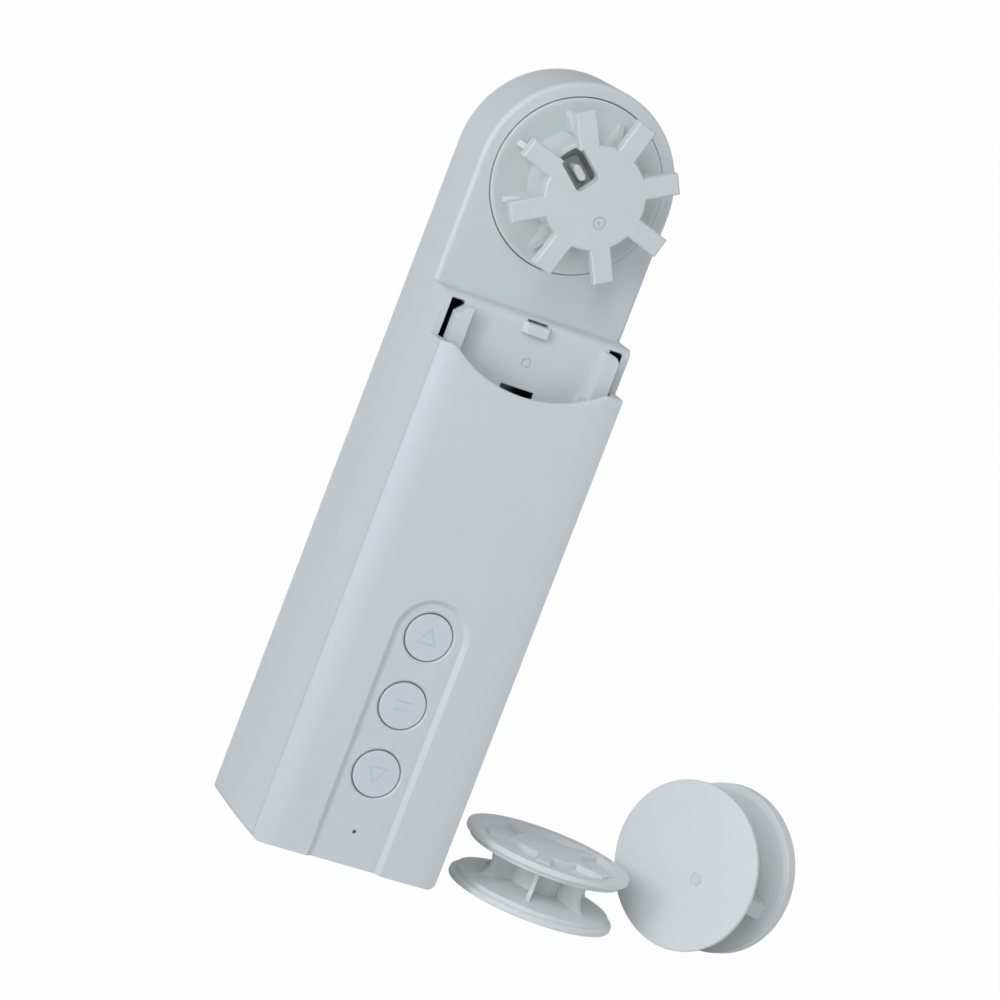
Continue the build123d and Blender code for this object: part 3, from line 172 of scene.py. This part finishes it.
# Turned or ground metal: fine lines round or along one axis, and a slow drift
def workedMetal(name, look):
    material, start = startMaterial(name)
    place = start.node("ShaderNodeTexCoord", output="Object")
    stretch = start.node("ShaderNodeMapping", None, {"Vector": place, "Scale": look["stretch"]})
    lines = noise(start, stretch, look["lineSize"], look["lineDetail"], look["lineRough"])
    drift = noise(start, place, look["driftSize"], look["driftDetail"])
    colour = mixColour(drift, shade(look["light"]), shade(look["dark"]))
    rough = lines * look["roughSpread"] + look["rough"]
    bump = start.node("ShaderNodeBump", None, {"Height": lines, "Strength": look["lineStrength"],
                                               "Distance": look["lineDepth"] * mm})
    return endMaterial(material, start, {
        "Base Color": colour, "Roughness": rough, "Normal": bump, "Metallic": 1.0})


# Circuit board: solder mask over faint copper tracks
def solderMask(name, look):
    material, start = startMaterial(name)
    place = start.node("ShaderNodeTexCoord", output="Object")
    cells = start.node("ShaderNodeTexVoronoi", {"distance": "CHEBYCHEV", "feature": "F1"},
                       {"Vector": place, "Scale": 1 / (look["trackPitch"] * mm)})
    tracks = cells.math("GREATER_THAN", cells, look["trackShare"])
    colour = mixColour(tracks, shade(look["mask"]), shade(look["track"]))
    bump = start.node("ShaderNodeBump", None, {"Height": tracks, "Strength": look["trackStrength"],
                                               "Distance": look["trackDepth"] * mm})
    rough = tracks * look["roughSpread"] + look["rough"]
    return endMaterial(material, start, {"Base Color": colour, "Roughness": rough, "Normal": bump})


# Clear rod of the lamp
def clearRod(name, look):
    material, start = startMaterial(name)
    place = start.node("ShaderNodeTexCoord", output="Object")
    drift = noise(start, place, look["driftSize"], look["driftDetail"])
    return endMaterial(material, start, {
        "Base Color": mixColour(drift, shade(look["light"]), shade(look["dark"])),
        "Roughness": drift * look["roughSpread"] + look["rough"],
        "Transmission Weight": look["clear"], "IOR": look["ior"]})


# Colours are linear. Sizes are in mm. Surfaces inside the shade box are painted near black: painted shade
# for the dark inside seen through the slots
shellLook = {"light": (0.735, 0.76, 0.755), "dark": (0.715, 0.742, 0.738), "driftSize": 40.0,
             "grainSize": 0.16, "grainStrength": 0.22, "grainDepth": 0.02, "rough": 0.36,
             "roughSpread": 0.06, "edge": 0.25, "paintedShadeColour": (0.01, 0.01, 0.011),
             "hollow": ((-23.05, -11.2, 2.0), (23.05, 17.2, 136.9))}
coverLook = {**shellLook, "rough": 0.3, "coat": 0.3, "grainStrength": 0.16,
             "hollow": ((-23.05, -16.6, 2.0), (23.05, 17.2, 136.9)),
             "roll": {"flat": 18.05, "width": 6.2, "drop": 2.0}}
wheelLook = {"light": (0.73, 0.755, 0.73), "dark": (0.71, 0.737, 0.707), "driftSize": 14.0,
             "grainSize": 0.3, "grainStrength": 0.1, "grainDepth": 0.02, "rough": 0.3,
             "roughSpread": 0.05, "edge": 0.3, "depth": 0.12, "depthSize": 1.6}
latchLook = {**wheelLook, "light": (0.82, 0.83, 0.79), "dark": (0.79, 0.80, 0.75), "rough": 0.26}
shaftLook = {**latchLook, "light": (0.86, 0.87, 0.8), "dark": (0.83, 0.84, 0.77), "depth": 0.3}
# The pulleys' plastic is the wheel's, painted lighter: painted light for the brighter light that falls on
# the spare pulleys
pulleyLitLook = {**wheelLook, "light": (0.84, 0.865, 0.84), "dark": (0.82, 0.845, 0.82)}
buttonLook = {**shellLook, "light": (0.735, 0.76, 0.765), "dark": (0.72, 0.745, 0.75), "rough": 0.3,
              "grainStrength": 0.08, "edge": 0.15}
gearLook = {**wheelLook, "light": (0.72, 0.69, 0.58), "dark": (0.68, 0.64, 0.53), "rough": 0.34}
blackLook = {"light": (0.022, 0.022, 0.024), "dark": (0.014, 0.014, 0.016), "driftSize": 6.0,
             "grainSize": 0.25, "grainStrength": 0.4, "grainDepth": 0.03, "rough": 0.45,
             "roughSpread": 0.1, "edge": 0.15}
sleeveLook = {**blackLook, "light": (0.02, 0.09, 0.32), "dark": (0.015, 0.07, 0.26), "rough": 0.28,
              "grainStrength": 0.15, "coat": 0.4}
leadLook = {**blackLook, "light": (0.42, 0.02, 0.02), "dark": (0.34, 0.015, 0.015), "rough": 0.4}
lampLook = {**blackLook, "light": (0.85, 0.83, 0.62), "dark": (0.8, 0.78, 0.55), "rough": 0.2}
steelLook = {"light": (0.62, 0.62, 0.63), "dark": (0.5, 0.5, 0.52), "driftSize": 5.0, "driftDetail": 2.0,
             "lineSize": 0.3, "lineDetail": 3.0, "lineRough": 0.7, "lineStrength": 0.3, "lineDepth": 0.02,
             "stretch": (1.0, 0.08, 1.0), "rough": 0.22, "roughSpread": 0.2}
canLook = {**steelLook, "light": (0.3, 0.3, 0.29), "dark": (0.24, 0.24, 0.235), "rough": 0.3,
           "stretch": (1.0, 1.0, 0.08)}
bronzeLook = {**steelLook, "light": (0.62, 0.42, 0.2), "dark": (0.5, 0.33, 0.16), "rough": 0.4,
              "stretch": (1.0, 1.0, 1.0)}
boardLook = {"mask": (0.012, 0.1, 0.045), "track": (0.02, 0.16, 0.07), "trackPitch": 1.6,
             "trackShare": 0.38, "trackStrength": 0.4, "trackDepth": 0.03, "rough": 0.3,
             "roughSpread": 0.06}
rodLook = {"light": (0.9, 0.92, 0.92), "dark": (0.85, 0.88, 0.88), "driftSize": 2.0, "driftDetail": 2.0,
           "rough": 0.08, "roughSpread": 0.05, "clear": 0.9, "ior": 1.49}

print("materials")
finishes = {
    "shellFinish": (mouldedPlastic, shellLook, ["main_housing", "back_cover"]),
    "coverFinish": (mouldedPlastic, coverLook, ["front_cover"]),
    "wheelFinish": (mouldedPlastic, wheelLook, ["drive_wheel", "wheel_star"]),
    "latchFinish": (mouldedPlastic, latchLook, ["wheel_latch"]),
    "pulleyLitFinish": (mouldedPlastic, pulleyLitLook, [
        "cord_pulley_hub", "cord_pulley_face", "disc_pulley_hub", "disc_pulley_face"]),
    "buttonFinish": (mouldedPlastic, buttonLook, ["up_button", "stop_button", "down_button"]),
    "gearFinish": (mouldedPlastic, gearLook, ["output_gear", "compound_gear"]),
    "shaftFinish": (mouldedPlastic, shaftLook, ["output_shaft"]),
    "blackFinish": (mouldedPlastic, blackLook, [
        "gear_frame", "battery_cradle", "motor_end_cap", "tact_switches", "up_switch_plunger",
        "stop_switch_plunger", "down_switch_plunger"]),
    "sleeveFinish": (mouldedPlastic, sleeveLook, ["battery_cell_left", "battery_cell_right"]),
    "leadFinish": (mouldedPlastic, leadLook, ["motor_leads", "battery_leads"]),
    "lampFinish": (mouldedPlastic, lampLook, ["status_led"]),
    "steelFinish": (workedMetal, steelLook, [
        "idler_axle", "motor_shaft", "housing_screws", "board_screws", "frame_screws",
        "motor_screws", "position_magnet"]),
    "canFinish": (workedMetal, canLook, [
        "reducer_can", "motor_can", "radio_module", "charging_port", "cell_contacts"]),
    "bronzeFinish": (workedMetal, bronzeLook, ["rear_bush", "front_bush", "bevel_pinion"]),
    "boardFinish": (solderMask, boardLook, ["main_board", "position_board"]),
    "rodFinish": (clearRod, rodLook, ["light_pipe"]),
}
for finish, (makeMaterial, look, names) in finishes.items():
    material = makeMaterial(finish, look)
    for name in names:
        mesh = nodes[name].data
        mesh.materials.clear()
        mesh.materials.append(material)


# Marks sunk into the buttons: an outline triangle each way and two short bars
mark = {"triangleHeight": 4.45, "triangleWidth": 5.0, "triangleDrop": 0.3, "barLength": 3.4,
        "barPitch": 2.0, "line": 0.34, "sink": 0.1, "proud": 0.3}


def insetTriangle(width, height, line):
    base, slope = height / 3 + mark["triangleDrop"], math.hypot(width / 2, height)
    outer = [(-width / 2, -base), (width / 2, -base), (0, height - base)]
    inradius = width * height / (width + 2 * slope)
    share = 1 - line / inradius
    centre = (0, -base + inradius)
    inner = [(x * share, centre[1] + (z - centre[1]) * share) for x, z in outer]
    return outer, inner


def placed(rings, centre):
    across, up = centre
    return [[[(across + x * mm, up + z * mm) for x, z in ring] for ring in pair] for pair in rings]


# Cuts pairs of rings (an outer one and an inner one or none) into a node, between two places along Y
def cutRings(name, rings, near, far, node, body):
    shape = bmesh.new()
    for outer, inner in rings:
        layers = []
        for depth in (near, far):
            used = [ring for ring in (outer, inner) if ring]
            layers.append([[shape.verts.new((x, depth, z)) for x, z in ring] for ring in used])
        count = len(outer)
        for index in range(count):
            after = (index + 1) % count
            for ring in range(len(layers[0])):
                front, back = layers[0][ring], layers[1][ring]
                shape.faces.new((front[index], front[after], back[after], back[index]))
            for layer in layers:
                if len(layer) > 1:
                    shape.faces.new((layer[0][index], layer[0][after], layer[1][after], layer[1][index]))
        if len(layers[0]) == 1:
            for layer in layers:
                shape.faces.new(layer[0])
    bmesh.ops.recalc_face_normals(shape, faces=shape.faces)
    mesh = bpy.data.meshes.new(name)
    shape.to_mesh(mesh)
    shape.free()
    cutter = bpy.data.objects.new(name, mesh)
    bpy.context.scene.collection.objects.link(cutter)
    cutter.hide_render = True
    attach(cutter, body)
    cut = nodes[node].modifiers.new("mark", "BOOLEAN")
    cut.operation, cut.solver, cut.object = "DIFFERENCE", "EXACT", cutter


def markButton(name, rings, node, body):
    low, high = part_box(node)
    centre = ((low.x + high.x) / 2, (low.z + high.z) / 2)
    near, far = low.y - mark["proud"] * mm, low.y + mark["sink"] * mm
    cutRings(name, placed(rings, centre), near, far, node, body)


def flipped(rings):
    return [[[(x, -z) for x, z in ring] for ring in pair] for pair in rings]


def bars():
    half, line = mark["barLength"] / 2, mark["line"] / 2
    pairs = []
    for side in (-1, 1):
        middle = side * mark["barPitch"] / 2
        pairs.append(([(-half, middle - line), (half, middle - line), (half, middle + line),
                       (-half, middle + line)], []))
    return pairs


print("button marks")
upMark = [insetTriangle(mark["triangleWidth"], mark["triangleHeight"], mark["line"])]
markButton("upMark", upMark, "up_button", "up_key")
markButton("stopMark", bars(), "stop_button", "stop_key")
markButton("downMark", flipped(upMark), "down_button", "down_key")

# Cross recesses in the six screws of the back cover
cross = {"reach": 1.15, "line": 0.27, "sink": 0.7, "proud": 0.2, "flat": 0.02, "headSize": 5.0}


def headCentres(node):
    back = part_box(node)[1].y
    heads = []
    for vertex in nodes[node].data.vertices:
        place = nodes[node].matrix_world @ vertex.co
        if back - place.y > cross["flat"] * mm:
            continue
        point = (place.x, place.z)
        same = [head for head in heads if math.dist(head[0], point) < cross["headSize"] * mm]
        if same:
            same[0].append(point)
        else:
            heads.append([point])
    return [tuple((min(values) + max(values)) / 2 for values in zip(*head)) for head in heads]


def crossRing():
    reach, line = cross["reach"], cross["line"]
    arm = [(-line, -line), (-line, -reach), (line, -reach)]
    ring = []
    for quarter in range(4):
        ring += arm
        arm = [(-z, x) for x, z in arm]
    return ring


print("screw recesses")
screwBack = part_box("housing_screws")[1].y
crosses = []
for centre in headCentres("housing_screws"):
    crosses += placed([(crossRing(), [])], centre)
cutRings("screwCrosses", crosses, screwBack - cross["sink"] * mm, screwBack + cross["proud"] * mm,
         "housing_screws", "housing")


# Floor that reads as white to the camera and keeps a trace of shadow
floorLook = {"reach": 6000.0, "white": (1.0, 1.0, 1.0), "pale": (0.8, 0.8, 0.8), "driftSize": 400.0,
             "driftDetail": 2.0, "rough": 0.8, "strength": 1.0, "shadowShare": 0.02}


def paleFloor():
    material, start = startMaterial("floorFinish")
    place = start.node("ShaderNodeTexCoord", output="Object")
    drift = noise(start, place, floorLook["driftSize"], floorLook["driftDetail"])
    colour = mixColour(drift, shade(floorLook["pale"]), shade(floorLook["white"]))
    matt = start.node("ShaderNodeBsdfPrincipled", None, {
        "Base Color": colour, "Roughness": floorLook["rough"]})
    glow = start.node("ShaderNodeEmission", None, {
        "Color": shade(floorLook["white"]), "Strength": floorLook["strength"]})
    seen = start.node("ShaderNodeLightPath", output="Is Camera Ray")
    whiteness = seen * (1 - floorLook["shadowShare"])
    floorShader = start.node("ShaderNodeMixShader", None, {0: whiteness, 1: matt, 2: glow})
    start.node("ShaderNodeOutputMaterial", None, {"Surface": floorShader})
    reach = floorLook["reach"] * mm
    mesh = bpy.data.meshes.new("floor")
    corners = [(-reach, -reach, 0), (reach, -reach, 0), (reach, reach, 0), (-reach, reach, 0)]
    mesh.from_pydata(corners, [], [(0, 1, 2, 3)])
    floor = bpy.data.objects.new("floor", mesh)
    floor.location.z = cadBox[0].z
    mesh.materials.append(material)
    bpy.context.scene.collection.objects.link(floor)


print("floor and lights")
paleFloor()

# The room: pale light on the object, and the floor's white where the camera sees past the floor
roomLook = {"seen": (1.0, 1.0, 1.0), "seenStrength": 0.99, "lit": (0.88, 0.93, 1.0), "litStrength": 0.405}
world = bpy.data.worlds.new("studio")
world.use_nodes = True
world.node_tree.nodes.clear()
sky = Wire(world.node_tree)
cameraRay = sky.node("ShaderNodeLightPath", output="Is Camera Ray")
roomLight = sky.node("ShaderNodeBackground", None, {
    "Color": shade(roomLook["lit"]), "Strength": roomLook["litStrength"]})
roomSeen = sky.node("ShaderNodeBackground", None, {
    "Color": shade(roomLook["seen"]), "Strength": roomLook["seenStrength"]})
roomShader = sky.node("ShaderNodeMixShader", None, {0: cameraRay, 1: roomLight, 2: roomSeen})
sky.node("ShaderNodeOutputWorld", None, {"Surface": roomShader})
bpy.context.scene.world = world

# Softboxes: azimuth from straight in front, positive to the right, and height above level, in degrees
softboxes = {
    "keyBox": {"azimuth": -40, "elevation": 32, "distance": 1000, "size": (520, 420), "watts": 2.5},
    "leftBox": {"azimuth": -80, "elevation": 12, "distance": 1100, "size": (700, 900), "watts": 0.5},
    "stripBox": {"azimuth": -56, "elevation": 5, "distance": 1000, "size": (180, 760), "watts": 3.2},
    "rightBox": {"azimuth": 62, "elevation": 24, "distance": 1200, "size": (500, 800), "watts": 1.5},
}
aim = Vector((0, 0, 110)) * mm
for name, box in softboxes.items():
    lamp = bpy.data.lights.new(name, "AREA")
    lamp.shape, lamp.energy, lamp.color = "RECTANGLE", box["watts"], roomLook["lit"]
    lamp.size, lamp.size_y = (side * mm for side in box["size"])
    turn, lift = math.radians(box["azimuth"]), math.radians(box["elevation"])
    away = Vector((math.sin(turn) * math.cos(lift), -math.cos(turn) * math.cos(lift), math.sin(lift)))
    holder = bpy.data.objects.new(name, lamp)
    holder.location = aim + away * box["distance"] * mm
    holder.rotation_mode = "QUATERNION"
    holder.rotation_quaternion = away.to_track_quat("Z", "Y")
    bpy.context.scene.collection.objects.link(holder)

# The photograph's viewpoint: from the left, a little above, with the camera rolled
viewpoint = {"place": (-368.87, -998.37, 248.69), "azimuth": 20.84, "elevation": -8.29, "roll": 21.09,
             "lens": 161.0, "sensor": 36.0, "nearest": 50.0, "farthest": 30000.0}
camera = bpy.data.objects.new("camera", bpy.data.cameras.new("camera"))
camera.data.lens, camera.data.sensor_width = viewpoint["lens"], viewpoint["sensor"]
camera.data.clip_start, camera.data.clip_end = viewpoint["nearest"] * mm, viewpoint["farthest"] * mm
camera.matrix_world = (
    Matrix.Translation(Vector(viewpoint["place"]) * mm)
    @ Matrix.Rotation(math.radians(-viewpoint["azimuth"]), 4, "Z")
    @ Matrix.Rotation(math.radians(90 + viewpoint["elevation"]), 4, "X")
    @ Matrix.Rotation(math.radians(viewpoint["roll"]), 4, "Z"))
bpy.context.scene.collection.objects.link(camera)
bpy.context.scene.camera = camera
bpy.context.scene.view_settings.view_transform = "Standard"


bpy.context.view_layer.update()
print("done")
